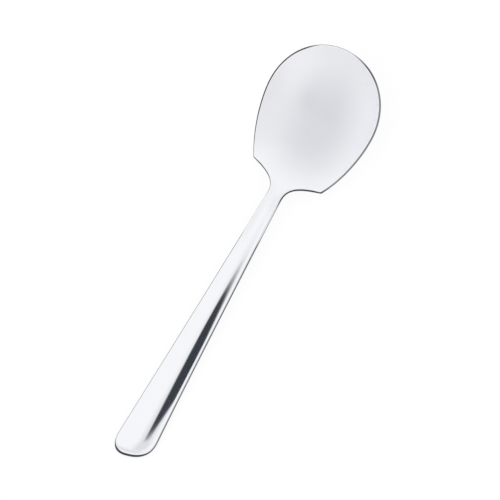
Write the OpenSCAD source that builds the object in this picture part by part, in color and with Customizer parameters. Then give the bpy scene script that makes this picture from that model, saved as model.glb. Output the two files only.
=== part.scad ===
// Serving spoon, pressed from one strip of stainless steel.
// The bowl and the handle are two sections of the strip that meet at the narrowest part of the neck.
// Millimetres, +X from the handle end to the bowl tip, +Y to the left, +Z up, resting on the ground.

/* [Overall] */
// Length along the middle line, from the handle end to the bowl tip
spoon_len = 230; // [210:1:260]

/* [Bowl] */
// Full width of the bowl at its widest
bowl_w = 64.6; // [56:0.2:72]
// Length of the bowl from the shoulders to the tip
bowl_len = 68.6; // [64:0.2:74]
// Distance from the tip back to the widest place
bowl_wide_from_tip = 31.8; // [28:0.2:36]
// Full width across the two shoulders
shoulder_w = 41.8; // [36:0.2:48]
// Roundness of the front half of the outline, 2 is an ellipse
front_round = 2.06; // [1.8:0.02:2.6]
// Roundness of the back half of the outline
back_round = 1.74; // [1.5:0.02:2.1]
// Height of the rim at the tip, middle of the sheet
tip_h = 17.6; // [13:0.2:22]
// Height of the rim at the shoulders, middle of the sheet
shoulder_h = 5.2; // [5:0.2:9]
// How the rim climbs from the shoulders to the tip, 1 is a straight line
rim_climb = 1.15; // [1:0.05:1.8]
// Start of the flat floor, back from the tip
floor_back = 53; // [48:0.5:56]
// End of the flat floor, back from the tip
floor_front = 40; // [34:0.5:42]
// Share of the half width that is flat floor
floor_share = 0.12; // [0.1:0.01:0.3]
// How sharply the side walls climb from the floor, 2 is a round dish
wall_climb = 2.2; // [1.8:0.05:2.6]
// How sharply the front wall climbs to the tip, 2 is a round dish
tip_climb = 2.1; // [1.8:0.05:2.6]
// Sheet thickness of the bowl
bowl_t = 1.4; // [1:0.1:2]

/* [Handle] */
// Full width the handle edges point to at the very end
handle_w = 22.6; // [18:0.2:27]
// Full width at the narrowest part of the neck
neck_w = 8.9; // [8:0.1:12]
// Bow of the tapering edges, 1 is straight
taper_bow = 0.88; // [0.8:0.02:1.2]
// Length of the rounding at the handle end
end_round_len = 11.5; // [8:0.5:20]
// Bluntness of the handle end, 2 is an ellipse
end_blunt = 2.45; // [2:0.05:3.5]
// Slant of the handle end, 0 is square
end_slant = 0.29; // [0:0.01:0.35]
// Length along the handle over which the slant dies away
slant_len = 60; // [30:1:70]
// Height of the outline at the handle end, middle of the sheet
end_h = 0.64; // [0.64:0.02:2]
// Height of the neck edges, middle of the sheet
neck_h = 5.6; // [5:0.1:9]
// Crown of the handle across its width at the end
crown_h = 1.6; // [0.8:0.1:2.4]
// Length over which the crown dies away towards the end
crown_fade = 9; // [6:0.5:14]
// Sheet thickness of the handle
handle_t = 2.2; // [1.6:0.1:3]
// Length of the flare from the neck to the shoulders
flare_len = 15.6; // [12:0.2:20]

/* [Detail] */
// Steps along the handle
handle_steps = 44; // [24:2:60]
// Steps along the bowl
bowl_steps = 58; // [40:2:70]
// Steps across the width
across_steps = 20; // [12:2:28]
// Steps around each rounded edge
edge_steps = 4; // [3:1:6]

/* [Hidden] */
shoulder_x = spoon_len - bowl_len;
wide_x = spoon_len - bowl_wide_from_tip;
neck_x = shoulder_x - flare_len;
floor_x0 = spoon_len - floor_back;
floor_x1 = spoon_len - floor_front;
crown_pow = 2.2;
flare_pow = 3.7;

function clamp01(a) = min(1, max(0, a));
function smooth(a) = let (t = clamp01(a)) t * t * t * (t * (6 * t - 15) + 10);
function mix(a, b, t) = a + (b - a) * t;
// value of a rounded corner curve, 1 at t = 0 and 0 at t = 1
function round_off(t, e) = pow(max(0, 1 - pow(clamp01(t), e)), 1 / e);

// Outline: half width at distance x from the handle end.
function taper(x) = handle_w / 2 - (handle_w - neck_w) / 2 * pow(max(0, x) / neck_x, taper_bow);
function end_cap(x) = x < end_round_len ? round_off(1 - x / end_round_len, end_blunt) : 1;
function flare(x) = pow(clamp01((x - neck_x) / flare_len), flare_pow);
function stem(x) = taper(x) * end_cap(x) + (shoulder_w / 2 - taper(shoulder_x)) * flare(x);
// reach of the back half of the bowl outline, so that it passes through the shoulders
back_reach = (wide_x - shoulder_x) / pow(1 - pow(shoulder_w / bowl_w, back_round), 1 / back_round);
function bowl_back(x) = bowl_w / 2 * round_off((wide_x - x) / back_reach, back_round);
function bowl_front(x) = bowl_w / 2 * round_off((x - wide_x) / bowl_wide_from_tip, front_round);
function half_w(x) = x < shoulder_x ? stem(x) : x < wide_x ? bowl_back(x) : bowl_front(x);

// Side profile of the middle of the sheet: edge height and spine height.
function sheet_t(x) = mix(handle_t, bowl_t, smooth((x - neck_x + 6) / (floor_x0 - neck_x)));
function stem_z(x) = mix(end_h, neck_h, x / neck_x);
function rim_z(x) = mix(shoulder_h, tip_h,
    pow(clamp01((x - shoulder_x) / bowl_len), rim_climb));
function edge_z(x) = mix(stem_z(x), rim_z(x), smooth((x - neck_x + 14) / (flare_len + 18)));
function end_fade(x) = 1 - pow(1 - min(1, x / crown_fade), crown_pow);
function crown(x) = crown_h * pow(taper(x) * 2 / handle_w, 1.2) * end_fade(x);
function floor_z(x) = x < floor_x1 ? bowl_t / 2
    : mix(bowl_t / 2, tip_h, pow((x - floor_x1) / floor_front, tip_climb));
function spine_z(x) = mix(stem_z(x) + crown(x), floor_z(x),
    smooth((x - neck_x - 2) / (floor_x0 - neck_x - 2)));

// Section across the width, u runs from -1 to 1, value 1 at the spine and 0 at the edges.
function crowned(u) = 1 - pow(abs(u), crown_pow);
function dished(u) = 1 - pow(max(0, abs(u) - floor_share) / (1 - floor_share), wall_climb);
function section(x, u) = mix(crowned(u), dished(u), smooth((x - neck_x) / (floor_x0 - neck_x)));
function sheet_z(x, u) = edge_z(x) + (spine_z(x) - edge_z(x)) * section(x, u);

// Slant of the handle end, applied to every point.
function slanted(p) = [p[0] - end_slant * p[1] * pow(clamp01(1 - p[0] / slant_len), 2), p[1], p[2]];

// Stations along the outline, closer together where the outline turns.
handle_x = [for (i = [0 : handle_steps]) let (t = i / handle_steps)
    t < 0.4 ? end_round_len * (1 - cos(90 * mix(0.06, 1, t / 0.4)))
    : mix(end_round_len, neck_x, (t - 0.4) / 0.6)];
flare_steps = floor(bowl_steps * 0.26);
back_steps = floor(bowl_steps * 0.3);
front_steps = bowl_steps - flare_steps - back_steps;
bowl_x = concat(
    [for (i = [0 : flare_steps - 1]) mix(neck_x, shoulder_x, 1 - pow(1 - i / flare_steps, 1.7))],
    [for (i = [0 : back_steps - 1]) mix(shoulder_x, wide_x, pow(i / back_steps, 1.25))],
    [for (i = [0 : front_steps]) wide_x + bowl_wide_from_tip * sin(90 * 0.985 * i / front_steps)]);
all_x = concat([for (i = [0 : handle_steps - 1]) handle_x[i]], bowl_x);

// Outward direction of the outline in plan at station i, averaged over the neighbours.
last_i = len(all_x) - 1;
function plan_at(i) = let (x = all_x[i]) [x, half_w(x)];
function before(i) = i >= 2 ? plan_at(i - 2) : plan_at(0) - [0, plan_at(0)[1] * (2 - i)];
function after(i) = i <= last_i - 2 ? plan_at(i + 2)
    : plan_at(last_i) - [0, plan_at(last_i)[1] * (i - last_i + 2)];
function outward(i) = let (d = after(i) - before(i), n = [-d[1], d[0]]) n / norm(n);

// Middle of the sheet above plan point (x, y), and its upward normal there.
function surf(x, y) = sheet_z(x, max(-1, min(1, y / max(0.01, half_w(x)))));
function normal(x, y, e = 0.15) = let (
    n = [surf(x - e, y) - surf(x + e, y), surf(x, y - e) - surf(x, y + e), 2 * e]) n / norm(n);

// The sheet is rounded at its edges, so the flat of the section stops one radius inside the outline.
function edge_r(i) = sheet_t(all_x[i]) / 2;
function inset(i) = plan_at(i) - edge_r(i) * outward(i);
function skin(i, u, side) = let (e = inset(i), y = u * e[1])
    [e[0], y, surf(e[0], y)] + side * edge_r(i) * normal(e[0], y);
function lip(i, u, a) = let (e = inset(i), o = outward(i), y = u * e[1], n = normal(e[0], y),
    w = [o[0], o[1] * u, 0], q = w - n * (w * n))
    [e[0], y, surf(e[0], y)] + edge_r(i) * (sin(a) * q / norm(q) + cos(a) * n);

// Closed section of station i: over the top, around one edge, back underneath, around the other.
function loop(i) = concat(
    [for (j = [0 : across_steps]) skin(i, -1 + 2 * j / across_steps, 1)],
    [for (j = [1 : edge_steps - 1]) lip(i, 1, 180 * j / edge_steps)],
    [for (j = [0 : across_steps]) skin(i, 1 - 2 * j / across_steps, -1)],
    [for (j = [1 : edge_steps - 1]) lip(i, -1, 180 - 180 * j / edge_steps)]);
// the section where the two halves meet is cut square to the handle
function ring(i) = [for (p = loop(i)) i == handle_steps ? [neck_x, p[1], p[2]] : slanted(p)];
ring_n = 2 * (across_steps + edge_steps);

// Faces: walls between neighbouring rings, a flat end at the neck, a strip at the rounded end.
function walls(rows) = [for (i = [0 : rows - 2], j = [0 : ring_n - 1])
    let (a = i * ring_n + j, b = i * ring_n + (j + 1) % ring_n, c = a + ring_n, d = b + ring_n)
    for (f = [[a, b, c], [b, d, c]]) f];
function flat_end(base) = [for (j = [0 : across_steps - 1])
    let (a = base + j, b = a + 1, d = base + mirror_j(j), c = base + mirror_j(j + 1))
    for (f = [[a, b, d], [b, c, d]]) f];
function mirror_j(j) = across_steps + edge_steps + (across_steps - j);
// the two rounded edges of a ring, each closed against its own end of the section
function edge_end(base) = concat(
    [for (j = [0 : edge_steps - 2]) let (k = across_steps + j)
        [base + k, base + k + 1, base + mirror_j(across_steps)]],
    [for (j = [0 : edge_steps - 2]) let (k = mirror_j(0) + j)
        [base + k, base + k + 1, base]]);
function turned(faces) = [for (f = faces) [f[0], f[2], f[1]]];
function strip_end(base) = concat(
    [for (j = [0 : across_steps - 1]) [base + j, base + j + 1, base + lip_l(1)]],
    [[base + across_steps, base + lip_r(1), base + lip_l(1)]],
    [for (k = [1 : edge_steps - 2]) for (f = [
        [base + lip_l(k), base + lip_r(k), base + lip_l(k + 1)],
        [base + lip_r(k), base + lip_r(k + 1), base + lip_l(k + 1)]]) f],
    [[base + lip_r(edge_steps - 1), base + mirror_j(across_steps), base + lip_l(edge_steps - 1)]],
    [for (j = [0 : across_steps - 1])
        [base + mirror_j(j + 1), base + mirror_j(j), base + lip_l(edge_steps - 1)]]);
function lip_r(k) = across_steps + k;
function lip_l(k) = ring_n - k;

// Middle of the part on the ground, taken from the outline.
end_x = min([for (i = [0 : 12]) for (p = ring(i)) p[0]]);
shift = [-(end_x + spoon_len) / 2, 0, 0];

module loft(i0, i1) {
    rows = i1 - i0 + 1;
    points = [for (i = [i0 : i1]) for (p = ring(i)) p + shift];
    first = i0 == 0 ? turned(strip_end(0)) : turned(concat(flat_end(0), edge_end(0)));
    top = (rows - 1) * ring_n;
    last = i1 == last_i ? strip_end(top) : concat(flat_end(top), edge_end(top));
    polyhedron(points, concat(walls(rows), first, last), convexity = 6);
}

// The dished bowl with its heel and shoulders, from the neck to the tip.
module bowl() {
    color([0.80, 0.81, 0.83])
        loft(handle_steps, last_i);
}

// The crowned handle, from the slanted end to the neck.
module handle() {
    color([0.88, 0.89, 0.91])
        loft(0, handle_steps);
}

bowl();
handle();
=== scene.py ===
"""Serving spoon of pressed stainless steel, with a satin bowl and a polished handle, lying on white paper."""

import math

import bpy
import numpy as np
from mathutils import Matrix, Vector


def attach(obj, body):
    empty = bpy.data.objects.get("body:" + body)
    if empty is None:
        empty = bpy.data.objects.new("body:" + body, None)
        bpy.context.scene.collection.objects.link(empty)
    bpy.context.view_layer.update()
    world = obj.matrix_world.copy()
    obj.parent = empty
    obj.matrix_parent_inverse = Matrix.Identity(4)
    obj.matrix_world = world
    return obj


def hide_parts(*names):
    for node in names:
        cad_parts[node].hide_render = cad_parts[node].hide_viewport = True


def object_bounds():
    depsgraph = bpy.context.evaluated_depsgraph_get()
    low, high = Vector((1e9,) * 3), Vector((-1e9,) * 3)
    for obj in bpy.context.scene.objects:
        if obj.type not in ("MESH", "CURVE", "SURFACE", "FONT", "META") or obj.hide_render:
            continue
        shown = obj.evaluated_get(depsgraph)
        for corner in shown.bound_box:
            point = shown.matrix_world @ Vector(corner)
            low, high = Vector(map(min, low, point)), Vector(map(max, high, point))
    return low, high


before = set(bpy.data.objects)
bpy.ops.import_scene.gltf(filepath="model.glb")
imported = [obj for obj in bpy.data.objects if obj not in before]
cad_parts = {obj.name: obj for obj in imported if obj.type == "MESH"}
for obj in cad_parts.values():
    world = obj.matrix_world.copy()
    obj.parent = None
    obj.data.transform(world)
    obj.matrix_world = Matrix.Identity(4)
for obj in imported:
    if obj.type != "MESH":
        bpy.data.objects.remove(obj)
cad_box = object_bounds()
MM = 0.001

# Sizes of the pressed sheet in mm, with heights to its middle. They are those that the solids are made from,
# and the softness of the shoulder's corner is added.
SIZES = {
    "Spoon length": 230.0,
    "Bowl width": 64.6,
    "Bowl length": 68.6,
    "Widest from tip": 31.8,
    "Shoulder width": 41.8,
    "Front roundness": 2.06,
    "Back roundness": 1.74,
    "Shoulder softness": 1.2,
    "Tip height": 17.6,
    "Shoulder height": 5.2,
    "Rim climb": 1.15,
    "Floor back": 53.0,
    "Floor front": 40.0,
    "Floor share": 0.12,
    "Wall climb": 2.2,
    "Tip climb": 2.1,
    "Bowl sheet": 1.4,
    "Handle width": 22.6,
    "Neck width": 8.9,
    "Taper bow": 0.88,
    "End rounding": 11.5,
    "End bluntness": 2.45,
    "End slant": 0.29,
    "Slant length": 60.0,
    "End height": 0.64,
    "Neck height": 5.6,
    "Crown height": 1.6,
    "Crown fade": 9.0,
    "Crown power": 2.2,
    "Handle sheet": 2.2,
    "Flare length": 15.6,
    "Flare power": 3.7,
}
SHOULDER_X = SIZES["Spoon length"] - SIZES["Bowl length"]
WIDEST_X = SIZES["Spoon length"] - SIZES["Widest from tip"]
NECK_X = SHOULDER_X - SIZES["Flare length"]
# The back of the bowl's outline reaches as far as lets it pass through the shoulders.
back_share = 1 - (SIZES["Shoulder width"] / SIZES["Bowl width"]) ** SIZES["Back roundness"]
SIZES |= {
    "Shoulder place": SHOULDER_X,
    "Widest place": WIDEST_X,
    "Neck place": NECK_X,
    "Back reach": (WIDEST_X - SHOULDER_X) / back_share ** (1 / SIZES["Back roundness"]),
    "Floor start": SIZES["Spoon length"] - SIZES["Floor back"],
    "Floor end": SIZES["Spoon length"] - SIZES["Floor front"],
    "Middle place": SIZES["Spoon length"] - cad_box[1][0] / MM,
}

# How far before the shoulder the bowl's outline is followed, in mm.
BOWL_LEAD = 3.0
# The edge climbs to the rim from this far before the neck to this far past the shoulder, in mm.
RIM_LEAD = 14.0
RIM_LAG = 4.0
# The spine sinks into the hollow from this far past the neck, in mm.
SPINE_LAG = 2.0
# The sheet gets thinner from this far before the neck to this far before the floor, in mm.
THINNING_LEAD = 6.0
# The crown gets lower along the handle with its width to this power.
CROWN_TAPER = 1.2
# The press bends the sheet this much more softly across the shoulder than its outline turns there.
SHEET_SOFTNESS = 6.0
# How much wider than half round the edge is at the handle's end, and how far along that reaches, in mm.
END_EASING = 1.9
EASED_LENGTH = 24.0
# The rounding leans with the sheet, so what is eased is set back by this share of what it reaches.
SETBACK_SHARE = 0.9
# Small steps, in mm, over which the slope of the outline and of the sheet is read.
OUTLINE_STEP = 0.05
SMALLEST_STEP = 0.0001
SHEET_STEP = 0.1
# Points closer than this, in metres, are one point.
SAME_POINT = 5e-7
# A width under this, in mm, counts as this, so that nothing is divided by nought.
LEAST_WIDTH = 0.01
# An edge lies on the cut at the neck where the mean mark of its two ends is at least this.
WHOLE_MARK = 0.99

# What each point of a blank carries: where it lies across the sheet, how far it has turned round the edge,
# how full the sheet is there, whether its row has a width, and whether it is on the cut at the neck.
MARKS = ("across", "turn", "fullness", "spread", "cut")
# Steps over a face and round an edge, and how much closer together the first are towards the edges.
FACE_STEPS = 64
EDGE_STEPS = 10
EDGE_CROWDING = 0.4
# Rows along each stretch of the spoon, and the power that crowds them at the handle's end.
END_ROWS = 40
HANDLE_ROWS = 110
BACK_ROWS = 140
FRONT_ROWS = 100
END_CROWDING = 2.4


def linear(hex_colour):
    """An sRGB hex colour as linear red, green, blue and alpha."""
    parts = [int(hex_colour[i : i + 2], 16) / 255 for i in (1, 3, 5)]
    return [c / 12.92 if c <= 0.04045 else ((c + 0.055) / 1.055) ** 2.4 for c in parts] + [1.0]


def add(tree, kind, settings=None, inputs=None):
    """Adds one node to a tree, with its settings, and with each input linked or set."""
    node = tree.nodes.new(kind)
    for name, value in (settings or {}).items():
        setattr(node, name, value)
    for key, value in (inputs or {}).items():
        value = getattr(value, "socket", value)
        if isinstance(value, bpy.types.NodeSocket):
            tree.links.new(value, node.inputs[key])
        else:
            node.inputs[key].default_value = value
    return node


class Amount:
    """A number that varies over the spoon, so that a rule of its shape or finish reads as the sum it is."""

    def __init__(self, tree, socket):
        self.tree = tree
        self.socket = socket

    def by(self, operation, *others):
        values = dict(enumerate((self, *others)))
        node = add(self.tree, "ShaderNodeMath", {"operation": operation}, values)
        return Amount(self.tree, node.outputs[0])

    def __add__(self, other):
        return self.by("ADD", other)

    __radd__ = __add__

    def __sub__(self, other):
        return self.by("SUBTRACT", other)

    def __rsub__(self, other):
        return self.by("SUBTRACT", other) * -1.0

    def __mul__(self, other):
        return self.by("MULTIPLY", other)

    __rmul__ = __mul__

    def __truediv__(self, other):
        return self.by("DIVIDE", other)

    def __rtruediv__(self, other):
        return self**-1.0 * other

    def __pow__(self, other):
        return self.by("POWER", other)

    def at_least(self, other):
        return self.by("MAXIMUM", other)

    def at_most(self, other):
        return self.by("MINIMUM", other)

    def share(self):
        return self.at_least(0.0).at_most(1.0)


def unit(*parts):
    """The parts of an arrow, scaled so that its length is one."""
    length = sum(part * part for part in parts) ** 0.5
    return [part / length for part in parts]


def eased(amount, start, end, before, after):
    """Goes smoothly from one value to another while an amount goes from start to end."""
    share = ((amount - start) / (end - start)).share()
    return before + (after - before) * (share * share * share * (share * (share * 6.0 - 15.0) + 10.0))


def rounded_off(share, power):
    """One at share 0, falling to nought at share 1 along a rounded corner."""
    return (1.0 - share.share() ** power).at_least(0.0) ** (1.0 / power)


def new_tree(name, extra_inputs, outputs):
    """An empty tree whose inputs are the spoon's sizes and some more, with each input as an amount."""
    tree = bpy.data.node_groups.new(name, "GeometryNodeTree")
    for label, kind in extra_inputs:
        tree.interface.new_socket(label, in_out="INPUT", socket_type=kind)
    for label, value in SIZES.items():
        socket = tree.interface.new_socket(label, in_out="INPUT", socket_type="NodeSocketFloat")
        socket.default_value = value
    for label, kind in outputs:
        tree.interface.new_socket(label, in_out="OUTPUT", socket_type=kind)
    start = add(tree, "NodeGroupInput")
    return tree, {s.name: Amount(tree, s) for s in start.outputs if s.name}


def handle_taper(size, along):
    """Half the handle's width at a place along the spoon, before its end is rounded."""
    narrowing = (along.at_least(0.0) / size["Neck place"]) ** size["Taper bow"]
    return size["Handle width"] * 0.5 - (size["Handle width"] - size["Neck width"]) * 0.5 * narrowing


def outline_tree():
    """Half the width of the spoon at a place along it."""
    widths = [("Half width", "NodeSocketFloat")]
    tree, size = new_tree("spoon outline", [("Along", "NodeSocketFloat")], widths)
    along = size["Along"]
    end_cap = rounded_off(1.0 - along / size["End rounding"], size["End bluntness"])
    flare = ((along - size["Neck place"]) / size["Flare length"]).at_least(0.0) ** size["Flare power"]
    shoulder_gain = size["Shoulder width"] * 0.5 - handle_taper(size, size["Shoulder place"])
    stem = handle_taper(size, along) * end_cap + shoulder_gain * flare
    in_bowl = along.at_least(size["Shoulder place"] - BOWL_LEAD)
    back = rounded_off((size["Widest place"] - in_bowl) / size["Back reach"], size["Back roundness"])
    front = rounded_off((in_bowl - size["Widest place"]) / size["Widest from tip"], size["Front roundness"])
    bowl = size["Bowl width"] * 0.5 * back * front
    add(tree, "NodeGroupOutput", {}, {"Half width": stem.by("SMOOTH_MIN", bowl, size["Shoulder softness"])})
    return tree


def sheet_tree(outline):
    """Height of the middle of the sheet: a crowned strip at the handle that eases into a dished bowl."""
    places = [("Along", "NodeSocketFloat"), ("Sideways", "NodeSocketFloat")]
    tree, size = new_tree("spoon sheet", places, [("Height", "NodeSocketFloat")])
    along = size["Along"]
    neck, shoulder = size["Neck place"], size["Shoulder place"]
    softer = {"Shoulder softness": size["Shoulder softness"] * SHEET_SOFTNESS}
    inputs = {n: size[n] for n in SIZES} | {"Along": along} | softer
    half_width = Amount(tree, add(tree, "GeometryNodeGroup", {"node_tree": outline}, inputs).outputs[0])
    across = (size["Sideways"].by("ABSOLUTE") / half_width.at_least(LEAST_WIDTH)).share()
    stem_height = size["End height"] + (size["Neck height"] - size["End height"]) * (along / neck)
    rim_share = ((along - shoulder) / size["Bowl length"]).share() ** size["Rim climb"]
    rim_height = size["Shoulder height"] + (size["Tip height"] - size["Shoulder height"]) * rim_share
    edge_height = eased(along, neck - RIM_LEAD, shoulder + RIM_LAG, stem_height, rim_height)
    end_fade = 1.0 - (1.0 - (along / size["Crown fade"]).at_most(1.0)) ** size["Crown power"]
    narrowed = handle_taper(size, along) * 2.0 / size["Handle width"]
    crown = size["Crown height"] * narrowed**CROWN_TAPER * end_fade
    floor = size["Bowl sheet"] * 0.5
    tip_share = ((along - size["Floor end"]) / size["Floor front"]).at_least(0.0) ** size["Tip climb"]
    floor_height = floor + (size["Tip height"] - floor) * tip_share
    spine_height = eased(along, neck + SPINE_LAG, size["Floor start"], stem_height + crown, floor_height)
    crowned = 1.0 - across ** size["Crown power"]
    up_wall = (across - size["Floor share"]).at_least(0.0) / (1.0 - size["Floor share"])
    dished = 1.0 - up_wall ** size["Wall climb"]
    section = eased(along, neck, size["Floor start"], crowned, dished)
    add(tree, "NodeGroupOutput", {}, {"Height": edge_height + (spine_height - edge_height) * section})
    return tree


def pressing_tree(outline, sheet):
    """Presses a flat blank into one length of the spoon, with a face on both sides and a half-round edge."""
    inputs = [("Blank", "NodeSocketGeometry"), ("Finish", "NodeSocketMaterial")]
    tree, size = new_tree("spoon pressing", inputs, [("Pressing", "NodeSocketGeometry")])
    sizes = {n: size[n] for n in SIZES}
    mark = {}
    for name in MARKS:
        node = add(tree, "GeometryNodeInputNamedAttribute", {"data_type": "FLOAT"}, {"Name": name})
        mark[name] = Amount(tree, node.outputs["Attribute"])

    def half_width(along):
        node = add(tree, "GeometryNodeGroup", {"node_tree": outline}, sizes | {"Along": along})
        return Amount(tree, node.outputs[0])

    def height(along, sideways):
        places = {"Along": along, "Sideways": sideways}
        node = add(tree, "GeometryNodeGroup", {"node_tree": sheet}, sizes | places)
        return Amount(tree, node.outputs[0])

    position = add(tree, "GeometryNodeInputPosition")
    along = Amount(tree, add(tree, "ShaderNodeSeparateXYZ", {}, {0: position.outputs[0]}).outputs["X"])
    across, turn = mark["across"], mark["turn"]

    # The way out of the spoon at its edge, in plan. At the very ends it points along the spoon, and close to
    # the handle's end it is read over a smaller step, because the outline turns quickly there.
    step = (along * 0.5).at_least(SMALLEST_STEP).at_most(OUTLINE_STEP)
    out_x, out_y = unit(half_width(along - step) - half_width(along + step), mark["spread"] * step * 2.0)
    side = (out_x, out_y * across.by("SIGN"), 0.0)

    # The edge is half round. Where the handle ends it is eased further in, so that it is kind to the hand.
    thin_from, thin_to = size["Neck place"] - THINNING_LEAD, size["Floor start"] - THINNING_LEAD
    radius = eased(along, thin_from, thin_to, size["Handle sheet"], size["Bowl sheet"]) * 0.5
    inset = radius * (1.0 + out_x * out_x * eased(along, 0.0, EASED_LENGTH, END_EASING, 0.0))
    setback = radius + (inset - radius) * SETBACK_SHARE

    # A point in the middle of the sheet, the way straight up from it, and the way to its edge within it.
    x = along - setback * out_x
    y = across * (half_width(along) - setback * out_y).at_least(0.0)
    fall_x = height(x - SHEET_STEP, y) - height(x + SHEET_STEP, y)
    fall_y = height(x, y - SHEET_STEP) - height(x, y + SHEET_STEP)
    up = unit(fall_x, fall_y, 2 * SHEET_STEP)
    lean = side[0] * up[0] + side[1] * up[1]
    edge_out = unit(*[s - u * lean for s, u in zip(side, up)])

    # From the middle of the sheet to its skin: straight up, straight down, or round the edge.
    rise = radius * mark["fullness"] * turn.by("COSINE")
    reach = inset * mark["fullness"] * turn.by("SINE")
    skin = [m + u * rise + e * reach for m, u, e in zip((x, y, height(x, y)), up, edge_out)]
    slant = size["End slant"] * (1.0 - skin[0] / size["Slant length"]).share() ** 2.0
    slanted_x = skin[0] - slant * skin[1] - size["Middle place"]
    place = {"X": slanted_x * MM, "Y": skin[1] * MM, "Z": skin[2] * MM}
    final = add(tree, "ShaderNodeCombineXYZ", {}, place)
    moved = {"Geometry": size["Blank"], "Position": final.outputs[0]}
    pressed = add(tree, "GeometryNodeSetPosition", {}, moved)
    doubles = {"Geometry": pressed.outputs[0], "Distance": SAME_POINT}
    closed = add(tree, "GeometryNodeMergeByDistance", {}, doubles)

    # All is smooth but the ring where the flat cut at the neck meets the skin.
    off_the_cut = mark["cut"].by("LESS_THAN", WHOLE_MARK)
    shaded = {"Geometry": closed.outputs[0], "Shade Smooth": off_the_cut}
    creased = add(tree, "GeometryNodeSetShadeSmooth", {"domain": "EDGE"}, shaded)
    whole = add(tree, "GeometryNodeRealizeInstances", {}, {"Geometry": creased.outputs[0]})
    finishing = {"Geometry": whole.outputs[0], "Material": size["Finish"]}
    finished = add(tree, "GeometryNodeSetMaterial", {}, finishing)
    add(tree, "NodeGroupOutput", {}, {"Pressing": finished.outputs[0]})
    return tree


def flat_blank(name, stations):
    """A flat strip of closed rows, each over the face, round one edge, under the sheet and round the other.
    A station is a place along the spoon, how full the sheet is there, and whether the row has a width."""
    even = np.linspace(-1, 1, FACE_STEPS + 1)
    face = (1 - EDGE_CROWDING) * even + EDGE_CROWDING * np.sin(even * math.pi / 2)
    lip = np.linspace(0, math.pi, EDGE_STEPS + 1)[1:-1]
    across = np.concatenate([face, np.ones_like(lip), face[::-1], -np.ones_like(lip)])
    turn = np.concatenate([np.zeros_like(face), lip, np.full_like(face, math.pi), lip[::-1]])
    places, fullness, spread = np.array(stations).T
    count = len(across)
    points = [(x, i, 0) for x in places for i in range(count)]
    faces = []
    for r in range(len(stations) - 1):
        for i in range(count):
            here, beside = r * count + i, r * count + (i + 1) % count
            faces.append((here + count, beside + count, beside, here))
    mesh = bpy.data.meshes.new(name)
    mesh.from_pydata(points, [], faces, shade_flat=False)
    marks = {
        "across": np.tile(across, len(stations)),
        "turn": np.tile(turn, len(stations)),
        "fullness": np.repeat(fullness, count),
        "spread": np.repeat(spread, count),
        "cut": np.repeat((places == NECK_X) * fullness, count),
        "edge": np.tile(np.sin(turn), len(stations)),
    }
    for label, values in marks.items():
        mesh.attributes.new(label, "FLOAT", "POINT").data.foreach_set("value", values.astype(np.float32))
    piece = bpy.data.objects.new(name, mesh)
    bpy.context.scene.collection.objects.link(piece)
    return piece


def press(name, stations, tree, finish, node):
    """Presses a blank into a piece of the spoon, which stands for the solid of that name."""
    piece = flat_blank(name, stations)
    pressing = piece.modifiers.new("pressing", "NODES")
    pressing.node_group = tree
    inputs = {s.name: s.identifier for s in tree.interface.items_tree if s.in_out == "INPUT"}
    for label, value in SIZES.items():
        pressing[inputs[label]] = value
    pressing[inputs["Finish"]] = finish
    mesh = bpy.data.meshes.new_from_object(piece.evaluated_get(bpy.context.evaluated_depsgraph_get()))
    piece.modifiers.clear()
    piece.data = mesh
    mesh.name = name
    for label in MARKS:
        mesh.attributes.remove(mesh.attributes[label])
    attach(piece, "root")
    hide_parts(node)


def new_material(name):
    """A material with no nodes yet, and its tree."""
    material = bpy.data.materials.new(name)
    material.use_nodes = True
    material.node_tree.nodes.clear()
    return material, material.node_tree


POLISHED = "#F5F6FA"
SATIN = "#F8F8FC"
# Painted shade for the middle of the bowl's hollow.
PAINTED_HOLLOW_SHADE = "#E0E1E6"
# Painted reflection: two greys for the rounded edge, which stand in for the dark room that it mirrors.
PAINTED_EDGE_GREY = "#8E9094"
PAINTED_EDGE_DARK = "#47494E"
# Painted reflection: a pale grey arc where the rounding of the handle's end starts.
PAINTED_END_ARC = "#DCDDE0"
# The middle of the painted shade in the bowl's hollow, how far it reaches along and across the spoon, in mm,
# and how far in it is full.
HOLLOW_MIDDLE = (77.0, -1.0)
HOLLOW_REACH = (51.0, 33.0)
HOLLOW_FULL = 0.9
# Places on the bowl's edge, in mm: at its front the painted edge shade is lighter, and to the right of that
# darker.
EDGE_PLACES = {
    "from the worn place": (113.5, 6.3, 17.6),
    "from the rough place": (110.6, -16.0, 16.2),
}
# Stretches over which a finish starts or stops. Each goes from nought to one between two places in mm,
# counted from the spoon's middle along it or to its left, or from one of the places on the edge.
STRETCHES = {
    "satin colour": ("along", 35, 55),
    "fine satin": ("along", 20, 34),
    "coarse satin": ("along", 36, 69),
    "end": ("along", -96, -109),
    "short of the end": ("along", -109, -96),
    "stem": ("along", 48, 35),
    "bowl": ("along", 35, 48),
    "bowl's side": ("along", 50, 75),
    "past the grip": ("along", 7, 14),
    "short of the flare": ("along", 36, 28),
    "past the waist": ("along", 27, 37),
    "short of the shoulder": ("along", 54, 46),
    "neck": ("along", 8, 14),
    "short of the neck's bend": ("along", 37, 31),
    "left half": ("to the left", -2, 2),
    "left edge": ("to the left", 3, 10),
    "right half": ("to the left", 2, -2),
    "lighter_edge_shade": ("from the worn place", 18, 8),
    "not worn": ("from the worn place", 8, 18),
    "darker_edge_shade": ("from the rough place", 10, 2),
}
# How much sooner the painted edge shade starts on its way round the edge, for each part of it, where 1 is the
# whole way out.
EDGE_SHADE_SOONER = {
    "end": -0.03,
    "right corner of the flare": 0.15,
    "left of the stem": 0.27,
    "right of the waist": -0.28,
    "bowl": -0.06,
    "left of the bowl": 0.28,
    "lighter_edge_shade": -0.345,
    "left of the neck": -0.24,
}
# Where the painted edge shade starts and where it is full, on its way round the edge.
EDGE_SHADE_START = 0.48
EDGE_SHADE_FULL = 0.6
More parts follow.
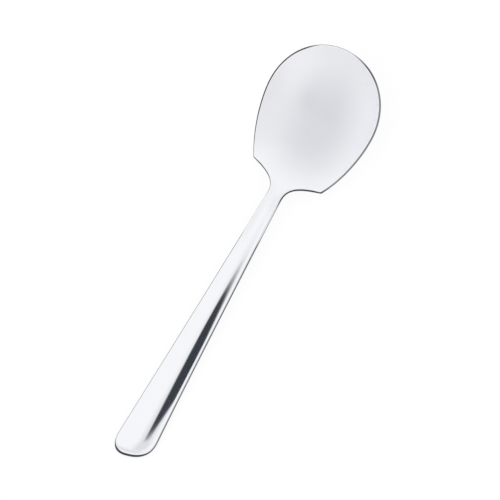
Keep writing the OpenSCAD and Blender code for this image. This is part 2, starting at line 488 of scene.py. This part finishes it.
# How much of the darker grey of the painted edge shade shows along the stem and at the place to the right of
# the bowl's front.
STEM_DARKNESS = 0.5
PLACE_DARKNESS = 0.8
# A faint grey arc of painted reflection is laid where the rounding of the handle's end starts: where it comes
# and goes, and its strength.
LINE_COMES = (0.0, 0.06)
LINE_GOES = (0.24, 0.1)
LINE_STRENGTH = 0.7
# Buffing lines are under 0.1 mm apart, which is too fine to show, so they are drawn coarser: this far
# apart and this long, in mm. They change the steel's roughness between these factors.
BUFFING_GAP = 0.4
BUFFING_LENGTH = 30.0
BUFFING_LEAST = 0.75
BUFFING_MOST = 1.25
# The roughness of the polish, and what the fine satin at the neck and the coarser one towards the hollow add.
POLISH_ROUGHNESS = 0.055
FINE_SATIN = 0.25
COARSE_SATIN = 0.145
SOFT = {"interpolation_type": "SMOOTHSTEP"}


def spoon_steel(name):
    """Stainless steel, buffed bright along the handle and brushed to a satin in the bowl.
    The bright steel mirrors the room and the satin gives a wide, milky glow. The middle of the bowl's hollow
    has painted shade, the rounded edge dark strokes of painted reflection, and the handle's end a faint grey
    arc of painted reflection."""
    material, tree = new_material(name)
    place = add(tree, "ShaderNodeTexCoord").outputs["Object"]
    along, to_the_left, _ = add(tree, "ShaderNodeSeparateXYZ", {}, {0: place}).outputs
    ways = {"along": along, "to the left": to_the_left}
    for label, spot in EDGE_PLACES.items():
        ends = {0: place, 1: [c * MM for c in spot]}
        ways[label] = add(tree, "ShaderNodeVectorMath", {"operation": "DISTANCE"}, ends).outputs["Value"]
    at = {}
    for label, (way, start, full) in STRETCHES.items():
        ends = {"Value": ways[way], "From Min": start * MM, "From Max": full * MM}
        at[label] = Amount(tree, add(tree, "ShaderNodeMapRange", SOFT, ends).outputs["Result"])

    # Painted shade: the satin is given a darker grey in the middle of the hollow, which stands in for the
    # darker reflection there.
    middle = [-m / r for m, r in zip(HOLLOW_MIDDLE, HOLLOW_REACH)] + [0.0]
    reach = [1 / (r * MM) for r in HOLLOW_REACH] + [0.0]
    in_hollow = add(tree, "ShaderNodeMapping", {}, {"Vector": place, "Location": middle, "Scale": reach})
    spread = {"Vector": in_hollow.outputs[0]}
    shade_falloff = add(tree, "ShaderNodeTexGradient", {"gradient_type": "SPHERICAL"}, spread)
    hollow_shade_share = add(tree, "ShaderNodeMapRange", SOFT, {"Value": shade_falloff.outputs["Fac"], "From Max": HOLLOW_FULL})

    # A painted reflection of the dark room darkens the rounded edge from part of the way round: sooner in the
    # flare's right corner and along the left, later at the waist and latest at the bowl's front.
    turned = Amount(tree, add(tree, "ShaderNodeAttribute", {"attribute_name": "edge"}).outputs["Fac"])
    left = (at["left half"] * at["short of the end"]).at_least(at["left edge"])
    right = at["right half"]
    parts = {
        "end": at["end"],
        "right corner of the flare": at["past the waist"] * at["short of the shoulder"] * right,
        "left of the stem": left * at["stem"],
        "right of the waist": at["past the grip"] * at["short of the flare"] * right,
        "bowl": at["bowl"],
        "left of the bowl": left * at["bowl's side"] * at["not worn"],
        "lighter_edge_shade": at["lighter_edge_shade"],
        "left of the neck": left * at["neck"] * at["short of the neck's bend"],
    }
    edge_shade_turn = turned
    for label, gain in EDGE_SHADE_SOONER.items():
        edge_shade_turn = edge_shade_turn + parts[label] * gain
    ends = {"Value": edge_shade_turn, "From Min": EDGE_SHADE_START, "From Max": EDGE_SHADE_FULL}
    painted_edge_shade = add(tree, "ShaderNodeMapRange", SOFT, ends)
    edge_shade_darkness = at["stem"] * STEM_DARKNESS
    for share in (at["end"], left, parts["right corner of the flare"], at["darker_edge_shade"] * PLACE_DARKNESS):
        edge_shade_darkness = edge_shade_darkness.at_least(share)
    # The faint grey arc at the handle's end is painted reflection.
    line = at["end"] * LINE_STRENGTH
    for start, full in (LINE_COMES, LINE_GOES):
        ends = {"Value": turned, "From Min": start, "From Max": full}
        line = line * Amount(tree, add(tree, "ShaderNodeMapRange", SOFT, ends).outputs["Result"])

    # Each tone is laid over the one before it by its share. A Mix node's colours are its inputs 6 and 7.
    # The satin tone carries the painted shade of the hollow, and the cut tone the two greys of the painted
    # edge reflection.
    tones = {"satin": (hollow_shade_share.outputs["Result"], SATIN, PAINTED_HOLLOW_SHADE), "cut": (edge_shade_darkness, PAINTED_EDGE_GREY, PAINTED_EDGE_DARK)}
    for label, (share, first, second) in tones.items():
        mixed = {0: share, 6: linear(first), 7: linear(second)}
        tones[label] = add(tree, "ShaderNodeMix", {"data_type": "RGBA"}, mixed).outputs[2]
    colour = linear(POLISHED)
    layers = (
        (at["satin colour"], tones["satin"]),
        (line, linear(PAINTED_END_ARC)),
        (painted_edge_shade.outputs["Result"], tones["cut"]),
    )
    for share, tone in layers:
        colour = add(tree, "ShaderNodeMix", {"data_type": "RGBA"}, {0: share, 6: colour, 7: tone}).outputs[2]

    # Lines of the buffing run along the spoon, and the finish gets duller from the neck to the hollow.
    buffing = [1 / (size * MM) for size in (BUFFING_LENGTH, BUFFING_GAP, BUFFING_GAP)]
    drawn_out = add(tree, "ShaderNodeMapping", {}, {"Vector": place, "Scale": buffing})
    hair = add(tree, "ShaderNodeTexNoise", {}, {"Vector": drawn_out.outputs[0], "Scale": 1.0, "Detail": 3.0})
    factors = {"Value": hair.outputs["Fac"], "To Min": BUFFING_LEAST, "To Max": BUFFING_MOST}
    buffed = Amount(tree, add(tree, "ShaderNodeMapRange", {}, factors).outputs["Result"])
    roughness = at["fine satin"] * FINE_SATIN + POLISH_ROUGHNESS + at["coarse satin"] * COARSE_SATIN
    finish = {"Base Color": colour, "Metallic": 1.0, "Roughness": roughness * buffed}
    steel = add(tree, "ShaderNodeBsdfPrincipled", {}, finish)
    add(tree, "ShaderNodeOutputMaterial", {}, {"Surface": steel.outputs[0]})
    return material


def lengthwise(first, last, count, power=1.0):
    """Places from first to last, closer together near the first where the power is above one."""
    return [first + (last - first) * (i / count) ** power for i in range(count + 1)]


outline = outline_tree()
pressing = pressing_tree(outline, sheet_tree(outline))
end_places = lengthwise(0.0, SIZES["End rounding"], END_ROWS, END_CROWDING)[1:]
handle_places = end_places + lengthwise(SIZES["End rounding"], NECK_X, HANDLE_ROWS)[1:]
handle_rows = [(0.0, 1.0, 0.0)] + [(x, 1.0, 1.0) for x in handle_places] + [(NECK_X, 0.0, 1.0)]
front_turns = [math.pi / 2 * i / FRONT_ROWS for i in range(1, FRONT_ROWS)]
front_places = [WIDEST_X + SIZES["Widest from tip"] * math.sin(turn) for turn in front_turns]
bowl_places = lengthwise(NECK_X, WIDEST_X, BACK_ROWS) + front_places
bowl_rows = [(NECK_X, 0.0, 1.0)] + [(x, 1.0, 1.0) for x in bowl_places] + [(SIZES["Spoon length"], 1.0, 0.0)]
# The handle's end of the sheet is buffed to a mirror, so it shows crisp bright and dark streaks.
polished_steel = spoon_steel("polished_stainless_steel")
# The bowl's end is brushed to a satin, so it mirrors the room softly, and the soft grey in the middle of its
# hollow is painted shade.
satin_steel = spoon_steel("satin_stainless_steel")
press("handle_pressing", handle_rows, pressing, polished_steel, "handle")
press("bowl_pressing", bowl_rows, pressing, satin_steel, "bowl")

# The paper's half width in metres, and its tones: as light falls on it, and as the eye and the steel see it,
# where part of its white is its own so that only the spoon's shadow is darker.
PAPER_HALF = 4.0
PAPER = "#F4F4F4"
PAPER_SHADE = "#6C6C6C"
PAPER_GLOW = 0.86
WHITE = "#FFFFFF"


def paper_floor():
    """Plain matt paper, which shows pure white to the eye and in the steel, and keeps the spoon's shadow."""
    mesh = bpy.data.meshes.new("floor")
    corners = [(-1, -1), (1, -1), (1, 1), (-1, 1)]
    mesh.from_pydata([(x * PAPER_HALF, y * PAPER_HALF, 0) for x, y in corners], [], [(0, 1, 2, 3)])
    floor = bpy.data.objects.new("floor", mesh)
    bpy.context.scene.collection.objects.link(floor)
    material, tree = new_material("white_paper")
    rays = add(tree, "ShaderNodeLightPath").outputs
    seen = Amount(tree, rays["Is Camera Ray"])
    for ray in ("Is Glossy Ray", "Is Transmission Ray"):
        seen = seen.at_least(rays[ray])
    paper = add(tree, "ShaderNodeBsdfDiffuse", {}, {"Color": linear(PAPER)}).outputs[0]
    shaded = add(tree, "ShaderNodeBsdfDiffuse", {}, {"Color": linear(PAPER_SHADE)}).outputs[0]
    glow = add(tree, "ShaderNodeEmission", {}, {"Color": linear(WHITE), "Strength": PAPER_GLOW}).outputs[0]
    white = add(tree, "ShaderNodeAddShader", {}, {0: shaded, 1: glow}).outputs[0]
    mix = add(tree, "ShaderNodeMixShader", {}, {0: seen, 1: paper, 2: white})
    add(tree, "ShaderNodeOutputMaterial", {}, {"Surface": mix.outputs[0]})
    mesh.materials.append(material)


# The cloth of the dark flags and of the pale one.
DARK_CLOTH = "#3A3E44"
PALE_CLOTH = "#E5E6E9"


def flag(name, rings, tone, filled=True):
    """A board that only the steel sees, as in a studio for metalware: it gives bright metal its dark lines.
    Its rings of corners follow each other, and each corner has how much of the tone is left there."""
    count = len(rings[0])
    corners = [corner for ring in rings for corner in ring]
    faces = [tuple(range(count))] if filled else []
    for r in range(len(rings) - 1):
        for i in range(count):
            here, beside = r * count + i, r * count + (i + 1) % count
            faces.append((here, beside, beside + count, here + count))
    mesh = bpy.data.meshes.new(name)
    mesh.from_pydata([corner[:3] for corner in corners], [], faces)
    shades = [corner[3] for corner in corners]
    mesh.attributes.new("shade", "FLOAT", "POINT").data.foreach_set("value", shades)
    board = bpy.data.objects.new(name, mesh)
    bpy.context.scene.collection.objects.link(board)
    material, tree = new_material(name + "_board")
    shade = add(tree, "ShaderNodeAttribute", {"attribute_name": "shade"}).outputs["Fac"]
    gauze = add(tree, "ShaderNodeBsdfTransparent").outputs[0]
    cloth = add(tree, "ShaderNodeEmission", {}, {"Color": linear(tone), "Strength": 1.0}).outputs[0]
    board_shader = add(tree, "ShaderNodeMixShader", {}, {0: shade, 1: gauze, 2: cloth})
    add(tree, "ShaderNodeOutputMaterial", {}, {"Surface": board_shader.outputs[0]})
    mesh.materials.append(material)
    for ray in ("camera", "diffuse", "transmission", "volume_scatter", "shadow"):
        setattr(board, "visible_" + ray, False)


def soft_flag(name, outline, height, tone, fade):
    """A level flag whose tone dies away past its outline, by a margin of its own towards +X and towards +Y.
    The outline and the margins are in mm, and the height is in metres."""
    outline = np.array(outline, float)
    away = outline - outline.mean(axis=0)
    away /= np.linalg.norm(away, axis=1, keepdims=True)
    rings = []
    for share, margin, margin_x, margin_y in fade:
        push = margin + margin_x * np.maximum(away[:, 0], 0) + margin_y * np.maximum(away[:, 1], 0)
        rings.append([(x * MM, y * MM, height, share) for x, y in outline + away * push[:, None]])
    flag(name, rings, tone)


def square_flag(name, height, share, inner, outer):
    """A faint level flag with square corners, which dies away from an inner to an outer square in mm."""
    rings = []
    for shade, (low_x, low_y, high_x, high_y) in ((share, inner), (0.0, outer)):
        corners = [(low_x, low_y), (high_x, low_y), (high_x, high_y), (low_x, high_y)]
        rings.append([(x * MM, y * MM, height, shade) for x, y in corners])
    flag(name, rings, DARK_CLOTH)


def overhead_flag():
    """The dark flag over the handle, which its polished face mirrors as one long streak."""
    outline = [(-128, 76), (-124, 34), (-113, 1), (-101, -40), (-88, -35), (-74, -28), (-60, -19), (-48, 9),
               (-38, 38), (-30, 70), (-27, 104), (-31, 132), (-41, 143), (-55, 146), (-73, 139), (-93, 120),
               (-113, 102), (-125, 95)]
    fade = [(1.0, 0, 0, 0), (0.1, 9, 20, 16), (0.0, 24, 24, 80)]
    soft_flag("overhead_flag", outline, 0.6, DARK_CLOTH, fade)


def corner_flag():
    """A pale grey flag past the handle's end, which gives the soft grey of its right corner."""
    outline = [(-360, 40), (-270, 0), (-190, -15), (-155, 0), (-150, 100), (-190, 120), (-270, 125),
               (-360, 130)]
    fade = [(1.0, 0, 0, 0), (0.5, 35, 0, 20), (0.0, 80, 0, 60)]
    soft_flag("corner_flag", outline, 0.62, PALE_CLOTH, fade)


def bowl_flag():
    """A faint flag above the right of the bowl, which shades its left wall."""
    outline = [(60, -180), (260, -180), (260, -420), (60, -420)]
    soft_flag("bowl_flag", outline, 0.63, DARK_CLOTH, [(0.2, 0, 0, 0), (0.0, 110, 0, 0)])


def faint_flags():
    """Flags far past the handle's end and far to the left of the spoon.
    They give the pale arc along the end and the soft grey of the neck."""
    square_flag("arc_flag", 0.6, 0.11, (-640, 40, -430, 640), (-720, -100, -340, 800))
    square_flag("neck_flag", 0.6, 0.075, (26, 430, 260, 800), (8, 290, 330, 900))


def side_flag():
    """The dark upright flag to the right of the spoon, which the left wall of the bowl sees."""
    place_y = -0.7
    low = 0.4
    high = 0.7
    half_length = 0.35
    margin = 0.3
    rings = []
    for share, grow in ((0.3, 0.0), (0.0, margin)):
        bottom, top, far = low - grow, high + grow, half_length + grow
        corners = [(-far, bottom), (far, bottom), (far, top), (-far, top)]
        rings.append([(x, place_y, z, share) for x, z in corners])
    flag("side_flag", rings, DARK_CLOTH)


def dark_surround():
    """The dark room beyond the paper, low all round and darkest past the handle's end and right side."""
    corners = 48
    radius = 1.4
    darkest_way = math.radians(-115)
    rings = []
    for height, share in ((0.0, 1.0), (0.05, 1.0), (0.2, 0.0)):
        ring = []
        for way in np.linspace(0, 2 * math.pi, corners, endpoint=False):
            facing = 0.5 + 0.5 * math.cos(way - darkest_way)
            ring.append((radius * math.cos(way), radius * math.sin(way), height, share * facing**2))
        rings.append(ring)
    flag("dark_surround", rings, DARK_CLOTH, filled=False)


def studio():
    """A white room with the flags that metalware is photographed with."""
    world = bpy.data.worlds.new("white_room")
    world.use_nodes = True
    world.node_tree.nodes.clear()
    room = add(world.node_tree, "ShaderNodeBackground", {}, {"Color": linear(WHITE), "Strength": 1.0})
    add(world.node_tree, "ShaderNodeOutputWorld", {}, {"Surface": room.outputs[0]})
    bpy.context.scene.world = world
    overhead_flag()
    corner_flag()
    bowl_flag()
    faint_flags()
    side_flag()
    dark_surround()


# The spoon's turn in the picture, how far the view leans from straight down, and which way across the picture
# it leans, in degrees.
TURN = 60.3903
LEAN = 23.220
HEADING = -36.836
# The place at the picture's middle in mm, the eye's distance in metres, and the picture's scale and width.
TARGET = (4.873, -4.146, 8.0)
DISTANCE = 2.0
PIXELS_PER_MM = 2.0002
PICTURE_PIXELS = 500


def camera():
    """The photograph's view: from above and a little from the right, turned so that the spoon lies askew."""
    turn, lean, heading = (math.radians(angle) for angle in (TURN, LEAN, HEADING))
    side = Vector((math.cos(heading - turn), math.sin(heading - turn), 0.0))
    across = Vector((-side.y, side.x, 0.0))
    down = side * math.cos(lean) - Vector((0, 0, math.sin(lean)))
    right = down * math.cos(heading) - across * math.sin(heading)
    up = down * math.sin(heading) + across * math.cos(heading)
    back = right.cross(up)
    view = bpy.data.cameras.new("view")
    view.lens = view.sensor_width * DISTANCE / MM * PIXELS_PER_MM / PICTURE_PIXELS
    eye = bpy.data.objects.new("view", view)
    place = Matrix((right, up, back)).transposed().to_4x4()
    place.translation = Vector(TARGET) * MM + back * DISTANCE
    eye.matrix_world = place
    bpy.context.scene.collection.objects.link(eye)
    bpy.context.scene.camera = eye


paper_floor()
studio()
camera()
bpy.context.scene.view_settings.view_transform = "Standard"
